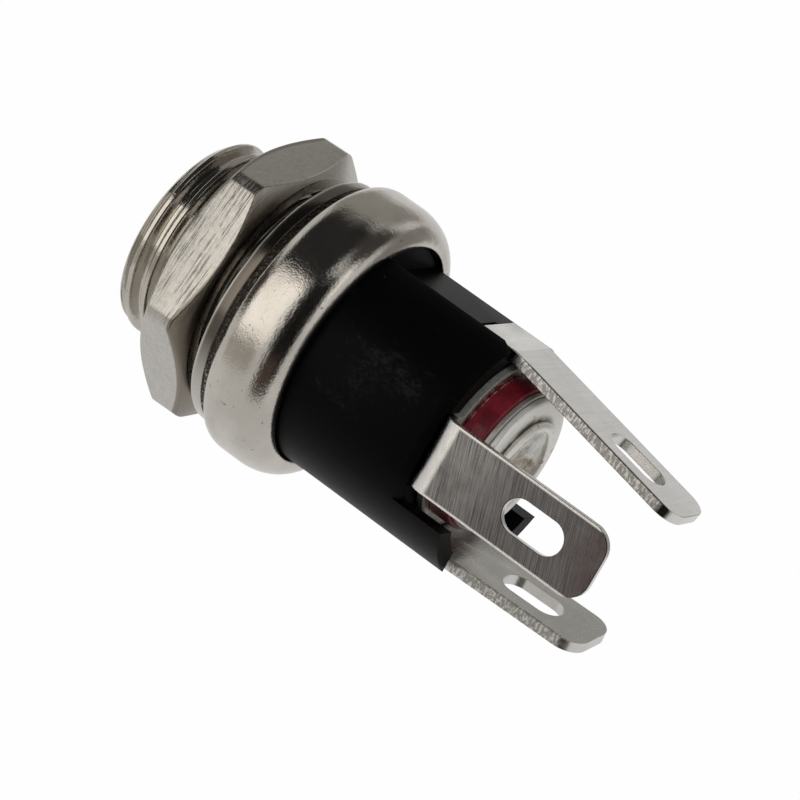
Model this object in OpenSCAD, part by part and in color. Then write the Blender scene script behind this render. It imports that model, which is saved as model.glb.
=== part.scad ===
// Panel-mount barrel jack: threaded metal housing rolled over a moulded insulator,
// riveted centre pin, three slotted solder lugs, hex nut and flat washer.
// Millimetres. Nose down at z = 0, solder lugs up along +Z, centre-pin lug toward -Y.

/* [Housing] */
// outside diameter of the thread
thread_d = 11; // [10:0.1:12]
// thread pitch
thread_pitch = 1; // [0.5:0.05:1.25]
// length of the threaded nose, front face to collar
nose_len = 7.7; // [6:0.1:12]
// bore that takes the plug's sleeve
socket_d = 6.3; // [5.8:0.1:7]
// lead-in chamfer of the bore
socket_lead = 0.35; // [0:0.05:0.8]
// how far the collar stands out past the thread
collar_step = 2.25; // [2:0.05:3]
// collar height, front face to rolled rim
collar_h = 3.75; // [3:0.1:6]
// radius of the rolled shoulder
roll_r = 1.1; // [0.6:0.05:1.5]
// small fillet at the collar's front edge
collar_fillet = 0.35; // [0.1:0.05:0.6]
// thickness of the rolled lip
lip_t = 0.8; // [0.5:0.05:1.1]
// how far the rolled lip reaches in from the collar's outside
lip_reach = 1.45; // [1.35:0.05:1.8]
// thickness of the collar's floor
floor_t = 0.8; // [0.5:0.05:1.2]
// wall of the collar around the insulator's flange
collar_wall = 0.85; // [0.5:0.05:1.2]

/* [Nut] */
// wall of the nut between the thread and a flat
nut_wall = 1.45; // [1.2:0.05:2]
// nut thickness
nut_t = 3; // [2:0.1:4]
// loose gap left between the nut and the washer
nut_gap = 0.75; // [0:0.05:1.5]
// how far the turned-down corners stand out past the flats
nut_corner = 0.9; // [0.5:0.05:1.05]
// how far the flat ring left by the chamfers lies inside the flats
nut_face_inset = 0.325; // [0.1:0.025:0.6]
// chamfer angle of the corners
nut_chamfer_deg = 30; // [15:1:35]
// turn of the nut about the axis
nut_turn = 44.8; // [0:0.1:60]
// lean of the loose nut on its thread
nut_lean = 1.5; // [0:0.5:1.5]

/* [Washer] */
// how far the washer's edge stands out past the thread
washer_wall = 1.6; // [1.2:0.05:2]
// washer thickness
washer_t = 1.25; // [0.5:0.05:1.5]

/* [Insulator] */
// distance of the body's rear edge from the rim
body_len = 7.75; // [6:0.1:12]
// chamfer of the rear edge
body_chamfer = 0.6; // [0.2:0.05:1]
// width of the rim left round the shallow rear pocket
pocket_rim = 1; // [0.7:0.05:1.3]
// depth of the rear pocket
pocket_depth = 0.15; // [0.05:0.05:0.5]
// length of the plug cavity behind the collar floor
cavity_len = 6; // [4:0.1:7]
// depth of the relief and the channel under the side lugs
relief_depth = 1.35; // [1.2:0.05:1.5]
// half width of the channel beside each outer lug
channel_half = 2.45; // [2.2:0.05:3]
// height of the two wings beside the switch lug
wing_h = 2.5; // [0.5:0.1:4]
// depth of the wings, in from the body's outside
wing_depth = 3; // [2:0.1:3.5]

/* [Centre pin] */
// diameter of the pin
pin_d = 2.1; // [1.5:0.05:2.6]
// distance of the pin's free end from the nose
pin_z = 1.2; // [0.5:0.1:3]
// diameter of the pin's shank
shank_d = 2.5; // [2.1:0.05:3]
// diameter of the pin's shoulder
shoulder_d = 4.2; // [3:0.1:5]
// thickness of the pin's shoulder
shoulder_t = 0.8; // [0.4:0.1:1.5]
// outside diameter of the flared tail
flare_d = 5.5; // [3:0.1:6]
// height of the flared tail
flare_h = 0.4; // [0.2:0.05:0.6]
// diameter of the tail's hollow
hollow_d = 1.7; // [1:0.05:2]
// width of the flared tail's rolled edge
flare_edge = 0.65; // [0.3:0.05:1]
// depth of the tail's hollow
hollow_depth = 1.5; // [0.5:0.1:3]

/* [Rear stack] */
// free width round the pin terminal's plate in its pocket
plate_free = 0.5; // [0.3:0.05:0.8]
// how far the fibre washer lies inside the plate's edge
fibre_inset = 0.55; // [0.3:0.05:1]
// thickness of the fibre washer
fibre_t = 1.2; // [0.5:0.05:1.5]
// how far the backing ring lies inside the fibre washer's edge
backing_inset = 0.2; // [0.1:0.05:0.6]
// thickness of the backing ring
backing_t = 0.3; // [0.2:0.05:0.6]
// how far the rivet disc lies inside the backing ring's edge
disc_inset = 0.1; // [0:0.05:0.6]
// thickness of the rivet disc
disc_t = 0.4; // [0.2:0.05:0.6]

/* [Lugs] */
// sheet thickness of the pin terminal
sheet_t = 0.4; // [0.3:0.05:0.6]
// sheet thickness of the sleeve and switch terminals
side_sheet_t = 0.55; // [0.4:0.05:0.65]
// width of the lugs
lug_w = 3.9; // [3:0.1:4.6]
// corner radius of the lug ends
lug_corner_r = 1.2; // [0.5:0.1:1.8]
// width of the wire slots
slot_w = 1.8; // [1:0.1:2.4]
// length of the wire slots
slot_len = 3.5; // [2:0.1:5]
// end of each slot to the lug's tip
slot_margin = 2.1; // [1.5:0.1:4]
// how far the pin lug's outer face lies inside the body's outside
pin_lug_inset = 0.25; // [0:0.05:0.6]
// outer bend radius of the pin lug
bend_r = 0.9; // [0.5:0.05:1.2]
// reach of the pin lug behind the body's rear edge
pin_lug_reach = 10.4; // [8:0.1:14]
// reach of the sleeve lug behind the body's rear edge
sleeve_lug_reach = 11.2; // [8:0.1:14]
// reach of the switch lug behind the body's rear edge
switch_lug_reach = 10.2; // [8:0.1:14]
// inward lean of the sleeve lug
sleeve_lean = 11; // [0:0.5:15]
// inward lean of the switch lug
switch_lean = 1.5; // [0:0.5:10]
// twist of the switch lug about its own length
switch_twist = 10; // [0:0.5:12]
// width of the contact leaves inside the body
leaf_w = 3; // [2:0.1:3.6]
// reach of each leaf's contact point from the axis
leaf_reach = 2.65; // [2.3:0.05:3]

/* [Fits] */
// running clearance between turned and moulded surfaces
gap = 0.05; // [0.02:0.01:0.2]

/* [Hidden] */
far = 40;
thread_r = thread_d / 2;
lead = 0.3 * thread_pitch;
rim_z = nose_len + collar_h;
collar_r = thread_r + collar_step;
rim_r = collar_r - lip_reach;
body_r = rim_r - 2 * gap;
washer_r = thread_r + washer_wall;
nut_r = thread_r + nut_wall;
nut_z = nose_len - washer_t - nut_gap - nut_t;
floor_z = nose_len + floor_t;
hold_z = rim_z - lip_t;
cavity_r = collar_r - collar_wall;
rear_z = rim_z + body_len;
plate_z = rear_z - pocket_depth;
fibre_z = plate_z + sheet_t;
backing_z = fibre_z + fibre_t;
disc_z = backing_z + backing_t;
flare_z = disc_z + disc_t;
relief_x = body_r - relief_depth;
wing_x = body_r - wing_depth;
pocket_r = body_r - pocket_rim;
plate_r = pocket_r - plate_free;
fibre_r = plate_r - fibre_inset;
backing_r = fibre_r - backing_inset;
disc_r = backing_r - disc_inset;
pin_lug_y = body_r - pin_lug_inset;
wall_z = floor_z + cavity_len;
window_z = wall_z + 1.6;
leaf_x = relief_x - side_sheet_t;
mitre_room = 0.7 * side_sheet_t;
nut_lean_az = -18;
leaf_slot = leaf_w / 2 + 2 * gap;
lug_z = window_z + 0.8;

// ring of revolution from a list of [radius, height] points
module turned(pts) {
  rotate_extrude($fn = 96)
    polygon(pts);
}

// points of an arc about c from angle a0 to a1
function arc(c, r, a0, a1, n) = [
  for (i = [0 : n]) c + r * [cos(a0 + (a1 - a0) * i / n), sin(a0 + (a1 - a0) * i / n)]
];

// flat ring with eased outer edges
module ring(r_out, r_in, z, t, ease) {
  turned([
    [r_in, z], [r_out - ease, z], [r_out, z + ease],
    [r_out, z + t - ease], [r_out - ease, z + t], [r_in, z + t]
  ]);
}

// slab standing on its lower end in the XZ plane: rounded tip, wire slot, thickness t along +Y
module lug_blade(length, t) {
  difference() {
    union() {
      translate([-lug_w / 2, 0, 0])
        cube([lug_w, t, length - lug_corner_r]);
      translate([-lug_w / 2 + lug_corner_r, 0, length - lug_corner_r - gap])
        cube([lug_w - 2 * lug_corner_r, t, lug_corner_r + gap]);
      for (sx = [-1, 1])
        translate([sx * (lug_w / 2 - lug_corner_r), 0, length - lug_corner_r])
          rotate([-90, 0, 0])
            cylinder(r = lug_corner_r, h = t, $fn = 48);
    }
    translate([0, -1, length - slot_margin - slot_len]) {
      for (dz = [slot_w / 2, slot_len - slot_w / 2])
        translate([0, 0, dz])
          rotate([-90, 0, 0])
            cylinder(d = slot_w, h = t + 2, $fn = 48);
      translate([-slot_w / 2, 0, slot_w / 2])
        cube([slot_w, t + 2, slot_len - slot_w]);
    }
  }
}

// unit normal on the left of the step from a to b
function left_of(a, b) = let (d = b - a) [-d[1], d[0]] / norm(d);

// corner of a strip's edge at path point i, off to the left by t
function edge_point(p, i, t) = let (
  n0 = left_of(p[max(i - 1, 0)], p[max(i, 1)]),
  n1 = left_of(p[min(i, len(p) - 2)], p[min(i + 1, len(p) - 1)])
) p[i] + t * (n0 + n1) / (1 + n0 * n1);

// bent strip of constant thickness, its outer face following path p in the XZ plane
module strip(p, w) {
  rotate([90, 0, 0])
    linear_extrude(height = w, center = true)
      polygon(concat(p, [
        for (i = [len(p) - 1 : -1 : 0]) edge_point(p, i, side_sheet_t)
      ]));
}

// terminal for one side: contact leaf, jog through the window and solder lug, outer faces on +X
module side_terminal(reach, lean, twist) {
  root = relief_x + side_sheet_t;
  kink_z = rear_z;
  strip([
    [leaf_reach + side_sheet_t + 0.55, floor_z + 0.45],
    [leaf_reach + side_sheet_t, floor_z + 1.9],
    [leaf_x, wall_z - 0.2],
    [leaf_x, window_z + 0.1]
  ], leaf_w);
  strip([
    [leaf_x, window_z],
    [leaf_x, window_z + 0.1],
    [root, lug_z],
    [root, kink_z]
  ], lug_w);
  translate([root, 0, kink_z])
    rotate([0, -lean, -twist])
      rotate([0, 0, 90])
        lug_blade(reach / cos(lean), side_sheet_t);
}

module threaded_housing() {
  color([0.74, 0.72, 0.68])
    turned(concat(
      [
        [socket_d / 2 + socket_lead, 0],
        [thread_r - lead, 0],
        [thread_r, lead],
        [thread_r, nose_len]
      ],
      arc([collar_r - collar_fillet, nose_len + collar_fillet], collar_fillet, -90, 0, 6),
      arc([collar_r - roll_r, rim_z - roll_r], roll_r, 0, 90, 16),
      [
        [rim_r + 0.08, rim_z],
        [rim_r, rim_z - 0.08],
        [rim_r, hold_z],
        [cavity_r, hold_z],
        [cavity_r, floor_z],
        [socket_d / 2, floor_z],
        [socket_d / 2, socket_lead]
      ]
    ));
}

module hex_nut() {
  corner_r = nut_r + nut_corner;
  face_r = nut_r - nut_face_inset;
  chamfer_h = (corner_r - face_r) * tan(nut_chamfer_deg);
  bore = thread_r + gap;
  color([0.66, 0.64, 0.60])
    translate([0, 0, nut_z + nut_t / 2])
      rotate(a = nut_lean, v = [sin(nut_lean_az), -cos(nut_lean_az), 0])
        rotate([0, 0, nut_turn])
          translate([0, 0, -nut_t / 2])
            difference() {
              intersection() {
                cylinder(r = nut_r / cos(30), h = nut_t, $fn = 6);
                turned([
                  [0, 0], [face_r, 0], [corner_r, chamfer_h],
                  [corner_r, nut_t - chamfer_h], [face_r, nut_t], [0, nut_t]
                ]);
              }
              turned([
                [0, -1], [bore + lead + 1, -1], [bore, lead], [bore, nut_t - lead],
                [bore + lead + 1, nut_t + 1], [0, nut_t + 1]
              ]);
            }
}

module flat_washer() {
  color([0.62, 0.60, 0.55])
    ring(washer_r, thread_r + 2 * gap, nose_len - washer_t, washer_t, 0.1);
}

// hollow beside the plug cavity in which one contact leaf moves, on the +X side
module leaf_room() {
  translate([0, -leaf_slot, floor_z - 1])
    cube([leaf_x + side_sheet_t / 4, 2 * leaf_slot, window_z - floor_z + 1]);
  translate([leaf_x - side_sheet_t - 0.1, -lug_w / 2 - gap, window_z - 0.1])
    cube([far, lug_w + 2 * gap, lug_z - window_z + 0.1 + mitre_room]);
}

module insulator_body() {
  color([0.07, 0.07, 0.07])
    difference() {
      union() {
        turned([
          [0, floor_z], [cavity_r - gap, floor_z], [cavity_r - gap, hold_z],
          [body_r, hold_z], [body_r, rear_z - body_chamfer],
          [body_r - body_chamfer / 2, rear_z], [0, rear_z]
        ]);
        intersection() {
          translate([0, 0, rear_z - 2])
            cylinder(r = body_r, h = wing_h + 2, $fn = 96);
          translate([wing_x, -far / 2, rear_z - 2])
            cube([far, far, far]);
        }
      }
      // plug cavity and the hole for the pin's shank
      translate([0, 0, floor_z - 1])
        cylinder(d = socket_d + 4 * gap, h = cavity_len + 1, $fn = 96);
      cylinder(d = shank_d + 2 * gap, h = far, $fn = 48);
      // shallow pocket for the pin terminal's plate, open toward the pin lug
      translate([0, 0, plate_z])
        cylinder(r = pocket_r, h = far, $fn = 96);
      translate([-lug_w / 2 - 2 * gap, -far, plate_z])
        cube([lug_w + 4 * gap, far, far]);
      // relief down the sleeve lug's side
      translate([-far - relief_x, -channel_half, rim_z - 0.4])
        cube([far, far, far]);
      // channel down the switch lug's side
      translate([relief_x, -channel_half, rim_z + 1])
        cube([far, 2 * channel_half, far]);
      // open space between the two wings
      translate([0, -channel_half, rear_z])
        cube([far, 2 * channel_half, far]);
      leaf_room();
      rotate([0, 0, 180])
        leaf_room();
    }
}

module centre_pin() {
  shank_r = shank_d / 2;
  pin_r = pin_d / 2;
  hollow_r = hollow_d / 2;
  color([0.80, 0.78, 0.72])
    turned(concat(
      [[0, pin_z]],
      arc([pin_r - 0.5, pin_z + 0.5], 0.5, -90, 0, 6),
      [
        [pin_r, wall_z - shoulder_t],
        [shoulder_d / 2, wall_z - shoulder_t],
        [shoulder_d / 2, wall_z],
        [shank_r, wall_z],
        [shank_r, flare_z],
        [flare_d / 2, flare_z]
      ],
      arc([flare_d / 2 - 0.2, flare_z + flare_h - 0.2], 0.2, 0, 90, 4),
      [
        [flare_d / 2 - flare_edge, flare_z + flare_h],
        [hollow_r, flare_z],
        [hollow_r, flare_z + flare_h - hollow_depth],
        [0, flare_z + flare_h - hollow_depth]
      ]
    ));
}

module pin_terminal() {
  hole = shank_d / 2 + gap;
  color([0.72, 0.71, 0.68])
    difference() {
      union() {
        translate([0, 0, plate_z])
          cylinder(r = plate_r, h = sheet_t, $fn = 96);
        translate([-lug_w / 2, -pin_lug_y + bend_r, plate_z])
          cube([lug_w, pin_lug_y - bend_r, sheet_t]);
        // quarter bend from the plate up into the lug
        translate([-lug_w / 2, -pin_lug_y + bend_r, plate_z + bend_r])
          rotate([90, 0, 90])
            difference() {
              intersection() {
                cylinder(r = bend_r, h = lug_w, $fn = 64);
                translate([-bend_r, -bend_r, 0])
                  cube([bend_r, bend_r, lug_w]);
              }
              translate([0, 0, -1])
                cylinder(r = bend_r - sheet_t, h = lug_w + 2, $fn = 64);
            }
        translate([0, -pin_lug_y, plate_z + bend_r])
          lug_blade(rear_z + pin_lug_reach - plate_z - bend_r, sheet_t);
      }
      translate([0, 0, plate_z - 1])
        cylinder(r = hole, h = sheet_t + 2, $fn = 48);
    }
}

module fibre_washer() {
  color([0.45, 0.08, 0.12])
    ring(fibre_r, shank_d / 2 + gap, fibre_z, fibre_t, 0.08);
}

module backing_ring() {
  color([0.30, 0.28, 0.26])
    ring(backing_r, shank_d / 2 + gap, backing_z, backing_t, 0.05);
}

module rivet_disc() {
  color([0.86, 0.85, 0.81])
    ring(disc_r, shank_d / 2 + gap, disc_z, disc_t, 0.15);
}

module sleeve_terminal() {
  color([0.82, 0.81, 0.78])
    rotate([0, 0, 180])
      side_terminal(sleeve_lug_reach, sleeve_lean, 0);
}

module switch_terminal() {
  color([0.70, 0.69, 0.65])
    side_terminal(switch_lug_reach, switch_lean, -switch_twist);
}

threaded_housing();
hex_nut();
flat_washer();
insulator_body();
centre_pin();
pin_terminal();
fibre_washer();
backing_ring();
rivet_disc();
sleeve_terminal();
switch_terminal();
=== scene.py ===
"""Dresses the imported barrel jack: turned thread, crimped collar, nut, washer, moulding, rear stack, lugs."""
import math

import bmesh
import bpy
import numpy as np
from mathutils import Matrix, Vector

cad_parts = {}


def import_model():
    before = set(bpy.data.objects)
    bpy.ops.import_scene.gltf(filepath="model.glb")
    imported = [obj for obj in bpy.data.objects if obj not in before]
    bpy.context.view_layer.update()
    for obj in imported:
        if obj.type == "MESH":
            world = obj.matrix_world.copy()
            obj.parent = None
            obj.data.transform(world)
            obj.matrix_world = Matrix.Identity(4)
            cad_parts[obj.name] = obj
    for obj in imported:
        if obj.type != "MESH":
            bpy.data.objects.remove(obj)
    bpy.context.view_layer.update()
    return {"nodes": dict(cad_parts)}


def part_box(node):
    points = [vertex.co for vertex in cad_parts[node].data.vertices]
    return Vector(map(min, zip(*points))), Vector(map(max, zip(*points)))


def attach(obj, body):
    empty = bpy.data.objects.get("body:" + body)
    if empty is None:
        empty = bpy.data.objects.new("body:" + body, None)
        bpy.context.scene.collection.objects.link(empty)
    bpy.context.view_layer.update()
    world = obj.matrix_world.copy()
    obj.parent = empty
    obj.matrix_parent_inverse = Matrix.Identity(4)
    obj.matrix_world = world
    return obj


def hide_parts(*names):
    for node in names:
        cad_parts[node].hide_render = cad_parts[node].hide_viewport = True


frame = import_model()
MM = 0.001
TURN = 2 * math.pi
CREASE = math.radians(35)


# ---------------------------------------------------------------- shader maths

class Wire:
    """A socket's value; sums and products of wires and numbers become Math nodes."""

    def __init__(self, finish, socket):
        self.finish, self.socket = finish, socket

    def _math(self, operation, *values):
        return self.finish.add("ShaderNodeMath", {"operation": operation}, dict(enumerate(values)))

    def __add__(self, other):
        return self._math("ADD", self, other)

    def __radd__(self, other):
        return self._math("ADD", other, self)

    def __sub__(self, other):
        return self._math("SUBTRACT", self, other)

    def __rsub__(self, other):
        return self._math("SUBTRACT", other, self)

    def __mul__(self, other):
        return self._math("MULTIPLY", self, other)

    def __rmul__(self, other):
        return self._math("MULTIPLY", other, self)

    def __pow__(self, other):
        return self._math("POWER", self, other)

    def __abs__(self):
        return self._math("ABSOLUTE", self)


class Finish:
    """One material. Lengths in it are millimetres of Object coordinates."""

    def __init__(self, name):
        self.material = bpy.data.materials.new(name)
        self.material.use_nodes = True
        self.nodes = self.material.node_tree.nodes
        self.links = self.material.node_tree.links
        self.nodes.clear()
        place = self.add("ShaderNodeTexCoord", outlet="Object")
        self.place = self.vector("SCALE", place, Scale=1 / MM)
        parts = self.nodes.new("ShaderNodeSeparateXYZ")
        self.links.new(self.place.socket, parts.inputs[0])
        self.x, self.y, self.z = (Wire(self, parts.outputs[i]) for i in range(3))

    def add(self, kind, settings=None, sockets=None, outlet=0):
        node = self.nodes.new(kind)
        for key, value in (settings or {}).items():
            setattr(node, key, value)
        for key, value in (sockets or {}).items():
            if isinstance(value, Wire):
                self.links.new(value.socket, node.inputs[key])
            else:
                node.inputs[key].default_value = value
        return Wire(self, node.outputs[outlet])

    def vector(self, operation, *values, outlet=0, **named):
        sockets = {**dict(enumerate(values)), **named}
        return self.add("ShaderNodeVectorMath", {"operation": operation}, sockets, outlet)

    def noise(self, stretch, detail=3.0, rough=0.55, shift=(0.0, 0.0, 0.0)):
        """Noise with stretch cycles a millimetre along X, Y and Z."""
        return self.wave(self.vector("MULTIPLY_ADD", self.place, stretch, shift), detail, rough)

    def wave(self, place, detail, rough):
        return self.add("ShaderNodeTexNoise", None,
                        {"Vector": place, "Scale": 1.0, "Detail": detail, "Roughness": rough})

    def step(self, value, low, high):
        """Smooth step of value from low to high."""
        return self.add("ShaderNodeMapRange", {"interpolation_type": "SMOOTHSTEP", "clamp": True},
                        {0: value, 1: low, 2: high, 3: 0.0, 4: 1.0})

    def tint(self, mask, dark, light):
        """Colour between dark and light by mask."""
        dark, light = ((*c, 1.0) if isinstance(c, tuple) else c for c in (dark, light))
        return self.add("ShaderNodeMix", {"data_type": "RGBA", "clamp_factor": True},
                        {0: mask, 6: dark, 7: light}, outlet=2)

    def radius(self):
        """Distance from the socket's axis."""
        return (self.x * self.x + self.y * self.y) ** 0.5

    def close(self, colour, rough, metal=0.0, height=None, depth=0.02, coat=0.0, specular=0.5):
        """Ends the material; height is in units of depth millimetres."""
        surface = {"Base Color": colour if isinstance(colour, Wire) else (*colour, 1.0), "Roughness": rough,
                   "Metallic": metal, "Coat Weight": coat, "Specular IOR Level": specular}
        if height is not None:
            surface["Normal"] = self.add("ShaderNodeBump", None,
                                         {"Strength": 1.0, "Distance": depth * MM, "Height": height})
        self.add_output(self.add("ShaderNodeBsdfPrincipled", None, surface))
        return self.material

    def add_output(self, shader):
        out = self.nodes.new("ShaderNodeOutputMaterial")
        self.links.new(shader.socket, out.inputs["Surface"])


# ---------------------------------------------------------------- surfaces

def link(name, data, sharp=None):
    """New object in the scene; a mesh is shaded smooth but for edges steeper than sharp."""
    if sharp is not None:
        data.shade_smooth()
        data.set_sharp_from_angle(angle=sharp)
    piece = bpy.data.objects.new(name, data)
    bpy.context.scene.collection.objects.link(piece)
    return piece


def skin(name, grid, closed_profile=True, sharp=CREASE):
    """Mesh of a grid of points (rows of the profile, columns round the axis, xyz in mm). Columns always
    close; the profile closes too, or its two end rows shrink to poles. Faces are turned outward by the
    sign of the volume."""
    rows, columns = grid.shape[:2]
    index = np.arange(rows * columns).reshape(rows, columns)
    lower, upper = (index, np.roll(index, -1, 0)) if closed_profile else (index[:-1], index[1:])
    quads = np.stack([lower, np.roll(lower, -1, 1), np.roll(upper, -1, 1), upper], -1).reshape(-1, 4)
    points = grid.reshape(-1, 3) * MM
    a, b, c, d = (points[quads[:, i]] for i in range(4))
    volume = np.einsum("ij,ij->i", a, np.cross(b, c)).sum() + np.einsum("ij,ij->i", a, np.cross(c, d)).sum()
    if volume < 0:
        quads = quads[:, ::-1]
    mesh = bpy.data.meshes.new(name)
    mesh.from_pydata(points.tolist(), [], quads.tolist())
    if not closed_profile:
        work = bmesh.new()
        work.from_mesh(mesh)
        bmesh.ops.remove_doubles(work, verts=work.verts, dist=1e-7)
        work.to_mesh(mesh)
        work.free()
    return link(name, mesh, sharp)


def around(radius, height, angle):
    """Points at a radius and height, turned by an angle about the socket's axis."""
    return np.stack([radius * np.cos(angle), radius * np.sin(angle), height], -1)


def turns(columns):
    """Angles of the columns round the axis."""
    return np.arange(columns) / columns * TURN


def soften(corners, cut, steps=4):
    """Rounds each corner of a closed profile: a quadratic curve from a point cut mm before the corner to
    one cut mm after it, the corner its control point. corners is (count, ..., 2); cut is one length or
    one per corner."""
    corners = np.asarray(corners, float)
    cut = np.broadcast_to(np.asarray(cut, float), corners.shape[:1])
    cut = cut.reshape((-1,) + (1,) * (corners.ndim - 1))
    before, after = np.roll(corners, 1, 0) - corners, np.roll(corners, -1, 0) - corners
    reach = [np.linalg.norm(v, axis=-1, keepdims=True) for v in (before, after)]
    start, end = (corners + v / r * np.minimum(cut, 0.45 * r) for v, r in zip((before, after), reach))
    t = np.linspace(0, 1, steps + 1).reshape((1, -1) + (1,) * (corners.ndim - 1))
    s, m, e = (q[:, None] for q in (start, corners, end))
    curve = (1 - t) ** 2 * s + 2 * t * (1 - t) * m + t ** 2 * e
    return curve.reshape((-1,) + corners.shape[1:])


def turned(name, corners, cut=0.05, columns=192, steps=4, wobble=None):
    """Ring of revolution from (radius, height) corners, softened; wobble(radius, height, angle) moves it."""
    profile = soften(corners, cut, steps)
    r, z = (np.repeat(profile[:, i:i + 1], columns, 1) for i in (0, 1))
    if wobble:
        r, z = wobble(r, z, np.repeat(turns(columns)[None], len(profile), 0))
    return skin(name, around(r, z, turns(columns)))


def edged(name, node, width, segments=2):
    """A CAD node's own shape with its loose triangles joined and its edges rounded by width mm."""
    mesh = frame["nodes"][node].data.copy()
    mesh.name = name
    work = bmesh.new()
    work.from_mesh(mesh)
    bmesh.ops.remove_doubles(work, verts=work.verts, dist=2e-6)
    bmesh.ops.dissolve_limit(work, angle_limit=math.radians(0.5), verts=work.verts, edges=work.edges)
    work.to_mesh(mesh)
    work.free()
    piece = link(name, mesh, CREASE)
    bevel = piece.modifiers.new("edge", "BEVEL")
    bevel.width, bevel.segments = width * MM, segments
    bevel.limit_method, bevel.angle_limit = "ANGLE", CREASE
    bevel.harden_normals = True
    return piece


def dress(piece, node, material):
    """The piece stands for a CAD node on the one body, in the node's material slot."""
    piece.data.materials.clear()
    piece.data.materials.append(material)
    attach(piece, "root")
    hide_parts(node)


def span(node):
    """Lowest and highest height of a CAD node, and its largest radius, in mm."""
    low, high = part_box(node)
    return low.z / MM, high.z / MM, max(high.x, high.y) / MM


# ---------------------------------------------------------------- sizes in millimetres

# Read from the frame: (lowest height, highest height, largest radius).
SEAT = span("flat_washer")
NUT = span("hex_nut")
HOUSE = span("threaded_housing")
DISC = span("rivet_disc")
FIBRE = span("fibre_washer")
PLATE = span("pin_terminal")
PIN = span("centre_pin")
PLATE_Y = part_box("pin_terminal")[0].y / MM  # outer face of the pin lug

# The part's own.
NOSE_R, PITCH, THREAD_DEPTH, BORE_R = 5.5, 1.0, 0.5, 3.15
COLLAR_Z, RIM_Z = SEAT[1], HOUSE[1]
ROLL, FRONT = (1.2, 1.9), (0.38, 0.75)      # rolled shoulder and front rounding: across and along the axis
LIP_R, LIP_T, FLANGE_R, FLOOR_T = 6.3, 0.8, 6.9, 0.8
NUT_T, NUT_LEAN, NUT_MIDDLE = 3.0, math.radians(1.5), (NUT[0] + NUT[1]) / 2
NUT_FLAT, NUT_CORNER, NUT_FACE = 6.95, 7.85, 6.625  # out to a flat, a corner and the edge of the turned face
NUT_TURN, NUT_CHAMFER = math.radians(14.8), math.radians(30)
FLAT_ANGLE = NUT_TURN + math.radians(240)
PIN_R, SHOULDER, SHANK_R = 1.05, (2.1, 13.7, 14.5), 1.25  # the shoulder's radius, foot and head
RING_HOLE = 1.31
REAR_Z, LUG_HALF = 19.2, 1.9                # rear edge of the moulding, half the width of a lug
SHEARED = 0.55                              # share of the washer's edge that the punch left smooth
REAR = Vector((0, 0, 1))
TURN_ANGLE = math.radians(18)               # from the pin lug toward the sleeve lug, round to the facing side
SIDE = Vector((math.cos(TURN_ANGLE), -math.sin(TURN_ANGLE), 0))
FACING = Vector((-math.sin(TURN_ANGLE), -math.cos(TURN_ANGLE), 0))


def housing_shape():
    """Turned shell. The nose's radius is the crest radius less a groove whose depth follows a rounded
    triangle wave of height / pitch - angle / full turn, faded in behind the lead chamfer and out before
    the collar."""
    columns, crest, chamfer = 240, 0.2, 0.36
    angle = turns(columns)
    heights = np.concatenate([np.linspace(0.0, 3.2, 150), np.linspace(3.24, COLLAR_Z, 90)])[:, None]
    phase = np.mod(heights / PITCH - angle[None] / TURN + 0.1, 1.0)
    flank = 1 - np.abs(2 * phase - 1)
    groove = np.clip((flank - crest) / 0.62, 0, 1)
    groove = groove * groove * (3 - 2 * groove) * 0.45 + groove * 0.55
    fade = np.clip((heights + 0.15) / 0.5, 0, 1) * np.clip((COLLAR_Z - 0.6 - heights) / 0.8, 0, 1)
    radius = np.minimum(NOSE_R - THREAD_DEPTH * groove * fade, NOSE_R - chamfer + heights * 0.95)
    nose = np.stack([radius, np.repeat(heights, columns, 1)], -1)

    def bow(radius, height, across, along, first, last, count):
        a = np.radians(np.linspace(first, last, count))
        return np.stack([radius + across * np.cos(a), height + along * np.sin(a)], -1)

    collar_r, ease = HOUSE[2], 0.05
    front, shoulder = COLLAR_Z + FRONT[1], RIM_Z - ROLL[1]
    rest = np.concatenate([
        [[NOSE_R, COLLAR_Z + 0.001]],
        bow(collar_r - FRONT[0], front, *FRONT, -90, 0, 18),
        np.stack([np.full(9, collar_r), np.linspace(front + ease, shoulder - ease, 9)], -1),
        bow(collar_r - ROLL[0], shoulder, *ROLL, 0, 88, 26),
        [[LIP_R + 0.1, RIM_Z - 0.002], [LIP_R + 0.03, RIM_Z - 0.03], [LIP_R, RIM_Z - 0.1],
         [LIP_R, RIM_Z - LIP_T], [FLANGE_R, RIM_Z - LIP_T], [FLANGE_R, COLLAR_Z + FLOOR_T],
         [BORE_R, COLLAR_Z + FLOOR_T], [BORE_R, 0.36], [BORE_R + 0.05, 0.28], [BORE_R + 0.3, 0.04],
         [BORE_R + 0.35, 0.0]],
    ])
    profile = np.concatenate([nose, np.repeat(rest[:, None], columns, 1)])
    return skin("housing", around(profile[..., 0], profile[..., 1], angle), sharp=math.radians(50))


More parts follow.
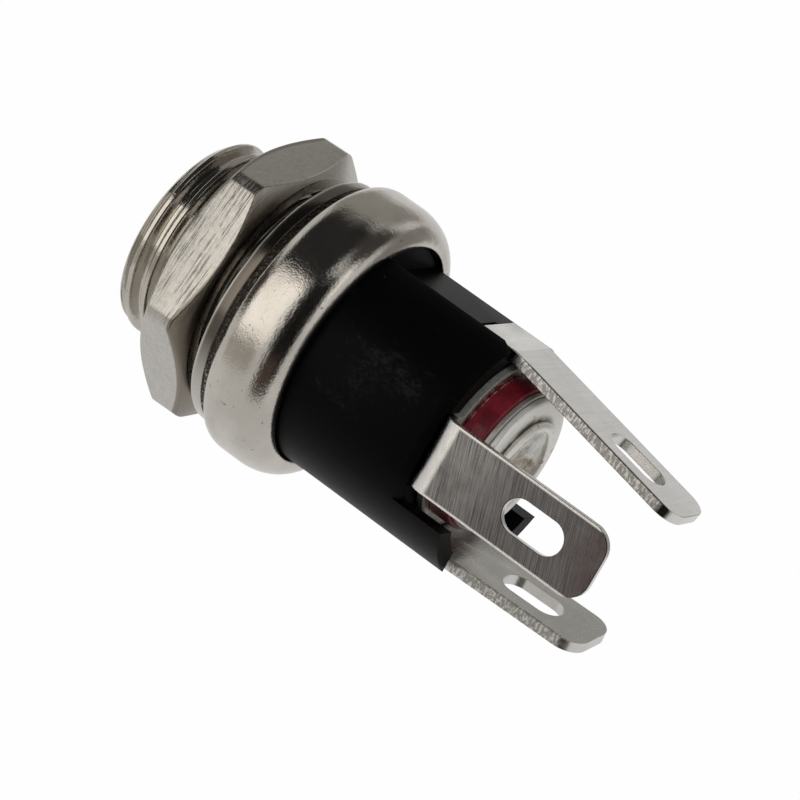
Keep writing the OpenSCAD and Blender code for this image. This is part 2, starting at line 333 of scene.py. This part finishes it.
def nut_shape():
    """Hexagon nut. Its radius at an angle is the soft minimum of the six flats' distances over the cosine
    of the angle from each, and of the turned-down corner radius; both chamfer cones cut it at the height
    that radius meets."""
    columns, keen, inner, lead = 720, 34.0, NOSE_R + 0.06, 0.42
    angle = turns(columns)
    flats = NUT_TURN + np.radians(60 * np.arange(6))[:, None]
    toward = np.cos(angle[None] - flats)
    distance = np.where(toward > 0.2, NUT_FLAT / np.maximum(toward, 0.2), 60.0)
    distance = np.concatenate([distance, np.full((1, columns), NUT_CORNER)])
    outer = -np.log(np.exp(-keen * (distance - 7.0)).sum(0)) / keen + 7.0
    half = NUT_T / 2
    edge = half - np.maximum((outer - NUT_FACE) * math.tan(NUT_CHAMFER), 0.02)
    even = np.ones(columns)
    upper = [[outer, edge], [NUT_FACE * even, half * even], [(inner + lead) * even, half * even],
             [inner * even, (half - lead) * even]]
    lower = [[radius, -height] for radius, height in reversed(upper)]
    cuts = [0.03, 0.03, 0.08, 0.07, 0.07, 0.08, 0.03, 0.03]
    profile = soften(np.array(lower + upper).transpose(0, 2, 1), cuts)
    lean = np.array(Matrix.Rotation(NUT_LEAN, 3, FACING))
    grid = around(profile[..., 0], profile[..., 1], angle) @ lean.T + (0, 0, NUT_MIDDLE)
    return skin("nut", grid, sharp=math.radians(40))


def washer_shape():
    """Stamped ring: a smooth sheared land on the front half of the edge, and behind it a torn band whose
    radius is a sum of sines of angle and height with fixed phases."""
    low, high, outer = SEAT
    middle, inner = low + SHEARED * (high - low), NOSE_R + 0.12
    rng = np.random.default_rng(7)
    waves = [(rng.integers(20, 240), rng.uniform(3, 30), rng.uniform(0, TURN)) for _ in range(26)]

    def torn(r, z, turn):
        inside = (np.clip((z - middle - 0.03) / 0.06, 0, 1) * np.clip((high - 0.03 - z) / 0.05, 0, 1)
                  * (r > outer - 0.2))
        rough = sum(np.sin(k * turn + q * z + p) for k, q, p in waves) / 26 ** 0.5
        return r - inside * (0.045 + 0.022 * rough), z

    heights = np.linspace(middle + 0.05, high - 0.07, 12)
    corners = [[inner, low], [outer - 0.12, low], [outer, low + 0.1], [outer, middle],
               [outer - 0.015, middle + 0.02]]
    corners += [[outer, h] for h in heights] + [[outer, high], [outer - 0.04, high], [inner, high]]
    return turned("washer", corners, 0.04, 480, 2, torn)


def ring_shape(name, node, ease):
    """Plain ring with its outer edges eased."""
    low, high, outer = span(node)
    corners = [[RING_HOLE, low], [outer, low], [outer, high], [RING_HOLE, high]]
    return turned(name, corners, [0.02, ease, ease, 0.02], 160, 5)


def pin_shape():
    """Turned pin from its domed free end to the flared, hollow tail, whose rolled rim is a little uneven."""
    low, high, _ = PIN
    neck, columns = DISC[1], 144
    shoulder_r, shoulder_low, shoulder_high = SHOULDER
    profile = [[0.0, low], [0.45, low], [0.8, low + 0.12], [1.0, low + 0.35], [PIN_R, low + 0.6]]
    profile += [[PIN_R, shoulder_low - 0.01], [PIN_R + 0.01, shoulder_low], [shoulder_r - 0.05, shoulder_low],
                [shoulder_r, shoulder_low + 0.05], [shoulder_r, shoulder_high], [SHANK_R, shoulder_high],
                [SHANK_R, neck]]
    half = (high - neck) / 2
    bead = np.radians(np.linspace(-80, 190, 16))
    profile += [[2.48 + 0.27 * math.cos(a), neck + half + (half - 0.01) * math.sin(a)] for a in bead]
    profile += [[2.02, neck + 0.16], [1.7, neck + 0.1], [1.3, neck + 0.02], [0.9, neck - 0.04],
                [0.45, neck - 0.06], [0.0, neck - 0.07]]
    profile = np.array(profile)
    angle = turns(columns)
    r, z = (np.repeat(profile[:, i:i + 1], columns, 1) for i in (0, 1))
    tail = np.clip((z - neck) / 0.1, 0, 1)
    uneven = 0.018 * np.sin(3 * angle + 1) + 0.012 * np.sin(7 * angle + 2) + 0.008 * np.sin(13 * angle)
    r = r + tail * uneven
    z = np.minimum(z + tail * 0.02 * np.sin(5 * angle + 0.5), high)
    return skin("rivet_pin", around(r, z, angle), closed_profile=False)


# ---------------------------------------------------------------- finishes

def nickel_turned():
    """Bright nickel over turned brass: faint lathe lines round the axis and a hammered softness."""
    f = Finish("nickel turned")
    lines = f.noise((0.25, 0.25, 14.0), 3, 0.6)
    soft = f.noise((2.2, 2.2, 2.2), 4, 0.6, (3, 1, 2))
    fleck = f.step(f.noise((5.0, 5.0, 5.0), 2, 0.5, (9, 4, 7)), 0.70, 0.76)
    stain = f.noise((0.35, 0.35, 0.5), 3, 0.55, (1, 8, 3))
    base = f.tint(f.step(stain, 0.35, 0.7), (0.46, 0.43, 0.385), (0.54, 0.51, 0.46))
    colour = f.tint(fleck, base, (0.2, 0.18, 0.16))
    peel = f.noise((9.0, 9.0, 9.0), 3, 0.6, (5, 5, 1)) * f.step(f.z, COLLAR_Z - 0.2, COLLAR_Z)
    return f.close(colour, 0.08 + lines * 0.07 + soft * 0.07, 1.0, lines * 0.25 + soft + peel * 0.8, 0.013)


def nickel_nut():
    """Nickel over milled brass: cutter lines run round the nut, deep on one flat and faint on the others; the
    turned-down cones are browner, and the rear cone is painted darker still as shade beside the washer."""
    f = Finish("nickel nut")
    front = f.step(f.x * math.cos(FLAT_ANGLE) + f.y * math.sin(FLAT_ANGLE), NUT_FLAT - 0.4, NUT_FLAT - 0.15)
    lines = f.noise((0.3, 0.3, 16.0), 4, 0.7, (5, 5, 5))
    coarse = f.step(f.noise((0.22, 0.22, 9.0), 3, 0.75, (2, 6, 1)), 0.54, 0.62)
    cross = f.step(f.noise((7.0, 7.0, 0.35), 3, 0.7, (3, 1, 4)), 0.55, 0.62)
    fine = f.noise((3.5, 3.5, 3.5), 4, 0.7, (7, 3, 9))
    depth = abs(f.z - NUT_MIDDLE) + (f.radius() - NUT_FACE) * math.tan(NUT_CHAMFER)
    cone = f.step(depth, NUT_T / 2 - 0.16, NUT_T / 2 - 0.03)
    rear = f.step(f.z, NUT_MIDDLE + 0.3, NUT_MIDDLE + 0.6)
    base = f.tint(f.step(fine, 0.3, 0.7), (0.44, 0.42, 0.385), (0.52, 0.50, 0.46))
    base = f.tint(cone * 0.75, base, (0.26, 0.225, 0.185))
    # Painted shade: the rear cone darkened where it faces the washer.
    base = f.tint(cone * rear * 0.6, base, (0.12, 0.095, 0.07))
    patch = f.noise((0.6, 0.6, 0.6), 3, 0.6, (1, 5, 2))
    score = coarse * f.step(patch, 0.42, 0.6) * 0.75 + cross * f.step(patch, 0.50, 0.40) * 0.3
    colour = f.tint(score * (front * 0.55 + 0.05), base, (0.13, 0.11, 0.09))
    return f.close(colour, 0.2 + lines * 0.14, 1.0,
                   lines * (front * 0.75 + 0.15) - score * front * 0.6, 0.012)


def washer_finish():
    """Stamped and plated: a bright front corner; a land painted dark brown on its upper side, a painted
    reflection; a dark torn band with bright specks.
    """
    f = Finish("washer stamped")
    low, high, outer = SEAT
    middle = low + SHEARED * (high - low)
    edge = f.step(f.radius(), outer - 0.16, outer - 0.12)
    torn = edge * f.step(f.z, middle + 0.02, middle + 0.06)
    upper = f.step(f.x * -SIDE.x + f.y * -SIDE.y, -6.2, -3.4)
    land = edge * f.step(f.z, low + 0.16, low + 0.26) * upper
    grit = f.noise((9.0, 9.0, 9.0), 3, 0.6)
    lines = f.noise((0.4, 0.4, 18.0), 2, 0.6)
    base = f.tint(grit, (0.42, 0.40, 0.365), (0.50, 0.475, 0.435))
    # Painted reflection: the land darkened to brown on its upper side.
    base = f.tint(land * 0.85, base, (0.085, 0.068, 0.052))
    colour = f.tint(torn * f.step(grit, 0.66, 0.54), base, (0.035, 0.03, 0.025))
    return f.close(colour, 0.16 + torn * 0.2 + lines * 0.06, 1.0, torn * grit + lines * 0.2, 0.03)


def black_moulding():
    """Black satin moulding: fine grain, a scuffed patch that is partly a painted sheen, and pale specks of
    dust.
    """
    f = Finish("black moulding")
    grain = f.noise((14.0, 14.0, 14.0), 3, 0.6)
    scuff = f.noise((0.7, 0.7, 0.5), 4, 0.65, (4, 2, 6))
    # The lighter patch here is partly real scuffing and partly a painted sheen in place of highlights.
    sheen_spot = FACING * 6.2 + REAR * 15.2
    away = f.vector("DISTANCE", f.place, tuple(sheen_spot), outlet="Value")
    scuff_and_sheen = f.step(scuff + f.step(away, 3.4, 0.8) * 0.22, 0.60, 0.82)
    scuff_and_sheen = scuff_and_sheen * f.step(f.noise((5.0, 5.0, 3.0), 4, 0.7, (1, 1, 5)), 0.40, 0.62)
    speck = f.step(f.noise((3.2, 3.2, 3.2), 1, 0.5, (8, 8, 2)), 0.80, 0.82)
    colour = f.tint(scuff_and_sheen * 0.8, (0.0018, 0.0018, 0.0019), (0.018, 0.018, 0.0185))
    colour = f.tint(speck * 0.5, colour, (0.12, 0.12, 0.12))
    return f.close(colour, 0.38 + scuff_and_sheen * 0.14 + grain * 0.06, 0.0, grain * 0.4 + scuff * 0.5 + scuff_and_sheen * 0.3, 0.02,
                   specular=0.05)


def lug_finish(name, low, high, shade, streak, slant=0.0, lines=22.0, depth=0.014, shaded_face=None, rim=None):
    """Tinned sheet between the colours low and high, brushed across with streaks of shade: long in X or Y,
    fine along Z, leaning by slant. shaded_face(f) masks the face painted dark as shade, with a painted
    highlight toward the bend. rim(f) masks the speckled sheared edge and, where there is one, the dark
    line painted as shade along its corner."""
    f = Finish(name)
    along = f.x - f.y
    across = f.z + along * slant
    place = f.add("ShaderNodeCombineXYZ", None, {0: along * 0.35, 1: across * lines, 2: f.x * 0.1})
    brush = f.wave(place, 3.0, 0.6)
    broad = f.noise((0.5, 0.5, 0.35), 3, 0.6, (3, 7, 1))
    pits = f.step(f.noise((7.0, 7.0, 7.0), 2, 0.6, (5, 1, 9)), 0.74, 0.79)
    colour = f.tint(f.step(broad, 0.3, 0.7) * 0.7 + brush * 0.3, low, high)
    colour = f.tint(f.step(brush, 0.56, 0.75) * streak, colour, shade)
    if shaded_face:
        # Tarnished toward the tip; the face painted dark as shade, with a painted highlight by the bend.
        painted_tone = shaded_face(f)
        tarnish = f.step(f.z - f.x * 0.6, 26.6, 29.4) * f.step(broad, 0.3, 0.6)
        light = f.step(f.z + f.x * 0.5, 25.5, 20.5) * f.step(broad, 0.25, 0.65)
        shaded_grey = f.tint(f.step(brush, 0.35, 0.65), (0.075, 0.070, 0.068), (0.16, 0.152, 0.147))
        shaded_grey = f.tint(light * 0.7 * f.step(brush, 0.3, 0.55), shaded_grey, (0.30, 0.29, 0.28))
        shaded_grey = f.tint(tarnish * 0.8, shaded_grey, (0.085, 0.062, 0.060))
        colour = f.tint(painted_tone, colour, shaded_grey)
    if rim:
        side, corner = rim(f)
        tick = f.step(f.noise((3.5, 3.5, 8.0), 3, 0.65, (2, 4, 4)), 0.46, 0.60)
        colour = f.tint(side * (1 - tick) * 0.85, colour, (0.25, 0.24, 0.22))
        # The corner line is painted shade.
        if corner is not None:
            colour = f.tint(corner * 0.9, colour, (0.03, 0.025, 0.02))
    colour = f.tint(pits * 0.6, colour, (0.12, 0.10, 0.08))
    if shaded_face:
        # Grime along the edge of the plate under the rear stack.
        rim_grit = f.noise((5.0, 5.0, 5.0), 3, 0.7, (6, 1, 1))
        plate = (f.step(f.radius(), 4.45, 4.6) * f.step(f.z, PLATE[0] + 0.5, PLATE[0] + 0.42)
                 * f.step(f.y, -5.0, -4.8))
        colour = f.tint(plate, colour, f.tint(rim_grit, (0.10, 0.11, 0.09), (0.42, 0.43, 0.38)))
        return f.close(colour, 0.2 + brush * 0.16 + plate * 0.2, 1.0 - plate * 0.7,
                       brush * 0.8 + broad * 0.5, depth)
    return f.close(colour, 0.2 + brush * 0.16, 1.0, brush * 0.8 + broad * 0.5, depth)


def pin_face(f):
    """The pin lug's outer face past the bend, short of its bright rolled edges; this face is painted dark as
    shade.
    """
    width = f.step(abs(f.x), LUG_HALF - 0.04, LUG_HALF - 0.12)
    return f.step(f.z, PLATE[0] + 1.0, PLATE[0] + 1.25) * width * f.step(f.y, PLATE_Y + 0.08, PLATE_Y + 0.03)


def switch_edge(f):
    """The switch lug's edge on the pin lug's side, with no dark line."""
    return f.step(f.y, 0.1 - LUG_HALF, 0.02 - LUG_HALF), None


def sleeve_edge(f):
    """The sleeve lug's edge on the pin lug's side, and the dark line painted as shade along its outer corner.
    """
    side = f.step(f.y, 0.04 - LUG_HALF, -LUG_HALF)
    corner = f.step(abs(f.y + LUG_HALF - 0.04), 0.11, 0.05) * f.step(f.z, REAR_Z + 0.4, REAR_Z + 1.2)
    return side, corner


def red_fibre():
    """Glossy red fibre, darker streaks along its edge, and a pale painted highlight at its lower corners."""
    f = Finish("red fibre")
    streak = f.noise((0.5, 0.5, 6.0), 4, 0.7)
    blot = f.noise((1.1, 1.1, 1.1), 3, 0.6, (2, 2, 7))
    # Painted highlight: pale along the lower corners.
    corner = f.step(abs(f.z - FIBRE[0] - 0.06), 0.07, 0.03)
    painted_tone = corner * f.step(f.noise((2.5, 2.5, 2.5), 3, 0.7, (1, 4, 4)), 0.45, 0.55)
    colour = f.tint(streak * 0.5 + f.step(blot, 0.4, 0.65) * 0.5, (0.085, 0.004, 0.009), (0.24, 0.012, 0.024))
    colour = f.tint(painted_tone * 0.8, colour, (0.5, 0.28, 0.27))
    return f.close(colour, 0.28 + streak * 0.15, 0.0, streak + blot * 0.6, 0.03, coat=0.12, specular=0.3)


def dark_ring():
    """Dull tinned steel ring, mottled."""
    f = Finish("dark ring")
    mottle = f.noise((4.0, 4.0, 6.0), 4, 0.65)
    colour = f.tint(mottle, (0.42, 0.40, 0.37), (0.62, 0.60, 0.56))
    return f.close(colour, 0.34 + mottle * 0.12, 0.7, mottle, 0.02)


def silver_disc():
    """Matt silver plate, with a brown shadow painted round the foot of the flared tail, and small stains."""
    f = Finish("silver disc")
    reach = f.radius()
    mottle = f.noise((1.6, 1.6, 1.6), 4, 0.65, (6, 3, 2))
    # Painted shadow: brown at the foot of the flared tail.
    painted_foot_shadow = f.step(reach, 3.15, 2.72) * f.step(mottle, 0.3, 0.55)
    stain = f.step(f.noise((1.3, 1.3, 1.3), 2, 0.5, (2, 9, 5)), 0.70, 0.75)
    base = f.tint(mottle, (0.78, 0.765, 0.72), (0.88, 0.865, 0.82))
    colour = f.tint(stain * 0.5, base, (0.35, 0.12, 0.10))
    colour = f.tint(painted_foot_shadow * 0.85, colour, (0.12, 0.09, 0.055))
    return f.close(colour, 0.36 + mottle * 0.12, 0.4 - painted_foot_shadow * 0.3, mottle, 0.03)


def pin_finish():
    """Plated pin; in the tail's hollow, yellow-brown flux over solder."""
    f = Finish("pin plate")
    reach = f.radius()
    neck = DISC[1]
    mottle = f.noise((2.4, 2.4, 2.4), 4, 0.65, (1, 2, 3))
    hollow = f.step(reach, 2.2, 1.95) * f.step(f.z, neck - 0.3, neck - 0.2)
    pool = f.noise((0.5, 0.5, 0.5), 4, 0.6, (3, 5, 1))
    flux = hollow * f.step(pool, 0.44, 0.60)
    milky = hollow * f.step(f.noise((1.3, 1.3, 1.3), 3, 0.6, (8, 2, 4)), 0.4, 0.6)
    rim = f.step(reach, 2.1, 2.3) * f.step(f.z, neck, neck + 0.1)
    crack = rim * f.step(f.noise((3.4, 3.4, 3.4), 3, 0.7, (7, 7, 7)), 0.63, 0.7)
    base = f.tint(mottle, (0.74, 0.72, 0.66), (0.86, 0.84, 0.79))
    colour = f.tint(crack * 0.8, base, (0.14, 0.11, 0.07))
    colour = f.tint(milky * 0.8, colour, (0.66, 0.64, 0.58))
    colour = f.tint(flux, colour, (0.20, 0.12, 0.015))
    return f.close(colour, 0.3 + mottle * 0.15, 0.65 - hollow * 0.5, mottle + milky * 1.5, 0.06,
                   coat=hollow * 0.6)


dress(housing_shape(), "threaded_housing", nickel_turned())
dress(nut_shape(), "hex_nut", nickel_nut())
dress(washer_shape(), "flat_washer", washer_finish())
dress(edged("moulding", "insulator_body", 0.12, 3), "insulator_body", black_moulding())
dress(pin_shape(), "centre_pin", pin_finish())
dress(ring_shape("fibre", "fibre_washer", 0.1), "fibre_washer", red_fibre())
dress(ring_shape("backing", "backing_ring", 0.08), "backing_ring", dark_ring())
dress(ring_shape("disc", "rivet_disc", 0.16), "rivet_disc", silver_disc())
dress(edged("pin_lug", "pin_terminal", 0.05), "pin_terminal",
      lug_finish("pin lug", (0.62, 0.60, 0.57), (0.74, 0.72, 0.69), (0.45, 0.42, 0.40), 0.3, slant=-0.3,
                 shaded_face=pin_face))
dress(edged("sleeve_lug", "sleeve_terminal", 0.06), "sleeve_terminal",
      lug_finish("sleeve lug", (0.66, 0.65, 0.62), (0.73, 0.72, 0.69), (0.56, 0.53, 0.49), 0.12,
                 lines=6.0, depth=0.004, rim=sleeve_edge))
dress(edged("switch_lug", "switch_terminal", 0.06), "switch_terminal",
      lug_finish("switch lug", (0.56, 0.545, 0.52), (0.68, 0.665, 0.635), (0.42, 0.40, 0.37), 0.15,
                 lines=6.0, depth=0.004, rim=switch_edge))


# ---------------------------------------------------------------- camera, floor and light

# The axis falls AXIS_ROLL below the view's horizontal, and makes AXIS_LEAN with the line of sight.
AXIS_ROLL, AXIS_LEAN = math.radians(35.85), math.radians(69.2)


def blended(rear, side, facing):
    """A direction in the frame from its shares along the axis, sideways and toward the facing side."""
    return REAR * rear + SIDE * side + FACING * facing


RIGHT = blended(math.sin(AXIS_LEAN) * math.cos(AXIS_ROLL), -math.sin(AXIS_ROLL),
                -math.cos(AXIS_LEAN) * math.cos(AXIS_ROLL))
DOWN = blended(math.sin(AXIS_LEAN) * math.sin(AXIS_ROLL), math.cos(AXIS_ROLL),
               -math.cos(AXIS_LEAN) * math.sin(AXIS_ROLL))
BACK = blended(math.cos(AXIS_LEAN), 0, math.sin(AXIS_LEAN))
AIM = REAR * 11.2 + RIGHT * 2.124 + DOWN * 2.302
DISTANCE, LENS, SENSOR = 198.0, 180.0, 36.0


def camera():
    data = bpy.data.cameras.new("camera")
    data.lens, data.sensor_width = LENS, SENSOR
    data.clip_start, data.clip_end = 0.01, 20.0
    eye = link("camera", data)
    place = (AIM + BACK * DISTANCE) * MM
    eye.matrix_world = Matrix.Translation(place) @ Matrix((RIGHT, -DOWN, BACK)).transposed().to_4x4()
    bpy.context.scene.camera = eye


def studio(direction):
    """A direction given as right, up and toward the camera, in the frame."""
    return (RIGHT * direction[0] - DOWN * direction[1] + BACK * direction[2]).normalized()


def sheet(name, corners, material):
    """One flat stage face through four corners."""
    mesh = bpy.data.meshes.new(name)
    mesh.from_pydata([tuple(c) for c in corners], [], [(0, 1, 2, 3)])
    mesh.materials.append(material)
    face = link(name, mesh)
    return face


def panel(name, direction, along, distance, length, width, strength, colour=(1, 1, 1)):
    """Flat card facing the jack, long along one direction, seen only in its polish."""
    out = studio(direction)
    up = studio(along)
    up = (up - out * up.dot(out)).normalized()
    side = up.cross(out)
    middle = (AIM + out * distance) * MM
    corners = [middle + side * (a * width / 2 * MM) + up * (b * length / 2 * MM)
               for a, b in ((-1, -1), (1, -1), (1, 1), (-1, 1))]
    f = Finish(name)
    f.add_output(f.add("ShaderNodeEmission", None, {"Color": (*colour, 1.0), "Strength": strength}))
    card = sheet(name, corners, f.material)
    card.visible_camera = card.visible_diffuse = card.visible_shadow = False


def lamp(name, direction, power, distance=450, size=300):
    """Round soft lamp aimed at the jack, left out of its polish."""
    data = bpy.data.lights.new(name, "AREA")
    data.shape, data.size, data.energy = "DISK", size * MM, power
    light = link(name, data)
    out = studio(direction)
    light.location = (AIM + out * distance) * MM
    light.rotation_euler = out.to_track_quat("Z", "Y").to_euler()
    light.visible_glossy = False


def floor(reach=6):
    """Pale paper to reach metres each way, white to the camera but for the object's shadow."""
    f = Finish("floor")
    path = f.nodes.new("ShaderNodeLightPath")
    seen = Wire(f, path.outputs["Is Camera Ray"]) + Wire(f, path.outputs["Is Glossy Ray"])
    paper = f.add("ShaderNodeBsdfDiffuse", None, {"Color": (0.86, 0.86, 0.86, 1)})
    glow = f.add("ShaderNodeEmission", None, {"Color": (1, 1, 1, 1), "Strength": 1.0})
    f.add_output(f.add("ShaderNodeMixShader", None, {0: seen * 0.985, 1: paper, 2: glow}))
    corners = [(x * reach, y * reach, 0) for x, y in ((-1, -1), (1, -1), (1, 1), (-1, 1))]
    ground = sheet("floor", corners, f.material)
    ground.visible_glossy = False


def world():
    """Even surround: white to the camera and in polish, dimmer as a light."""
    space = bpy.data.worlds.new("studio")
    bpy.context.scene.world = space
    space.use_nodes = True
    tree = space.node_tree
    tree.nodes.clear()
    path, out = tree.nodes.new("ShaderNodeLightPath"), tree.nodes.new("ShaderNodeOutputWorld")
    seen, either = tree.nodes.new("ShaderNodeMath"), tree.nodes.new("ShaderNodeMath")
    seen.operation = either.operation = "MAXIMUM"
    tree.links.new(path.outputs["Is Camera Ray"], seen.inputs[0])
    tree.links.new(path.outputs["Is Glossy Ray"], seen.inputs[1])
    tree.links.new(seen.outputs[0], either.inputs[0])
    tree.links.new(path.outputs["Is Transmission Ray"], either.inputs[1])
    strength = tree.nodes.new("ShaderNodeMapRange")
    strength.inputs[3].default_value, strength.inputs[4].default_value = 0.55, 1.0
    tree.links.new(either.outputs[0], strength.inputs[0])
    glow = tree.nodes.new("ShaderNodeBackground")
    tree.links.new(strength.outputs[0], glow.inputs["Strength"])
    tree.links.new(glow.outputs[0], out.inputs["Surface"])


camera()
floor()
world()
panel("flag_front", (0.054, -0.273, 0.985), (0.5, 0.85, 0.2), 300, 600, 310, 0.012)
panel("flag_top", (0.10, 0.88, 0.46), (0.5, 0.2, -0.73), 310, 430, 340, 0.03)
panel("flag_low", (-0.36, -0.72, 0.59), (0.9, -0.4, 0.1), 300, 190, 170, 0.10, (1.0, 0.72, 0.62))
panel("flag_left", (-0.80, 0.58, 0.13), (-0.3, 0.5, -0.8), 300, 250, 170, 0.07, (1.0, 0.88, 0.75))
panel("flag_right", (0.80, 0.50, 0.30), (0.0, 0.5, -0.85), 300, 250, 220, 0.07, (1.0, 0.97, 0.93))
panel("softbox", (-0.58, 0.26, 0.77), (0.52, 0.83, 0.2), 290, 270, 150, 1.6, (1.0, 0.965, 0.92))
panel("flag_end", (-0.90, -0.20, 0.40), (0.2, 0.8, 0.5), 305, 120, 130, 0.5, (1.0, 0.94, 0.87))
panel("card_over", (0.34, 0.83, -0.44), (1.0, -0.3, 0.0), 300, 300, 230, 0.36, (1.0, 0.98, 0.93))
panel("card_rim", (0.79, 0.0, 0.61), (0.3, 0.9, -0.3), 295, 150, 60, 1.5, (1.0, 0.97, 0.93))
panel("flag_back", (0.92, -0.02, -0.38), (0.0, 1.0, 0.0), 300, 260, 260, 0.32, (1.0, 0.97, 0.93))
lamp("key", (-0.6, 0.5, 0.65), 1.1)
lamp("fill", (0.7, 0.1, 0.6), 0.5)

scene = bpy.context.scene
scene.view_settings.view_transform = "Standard"
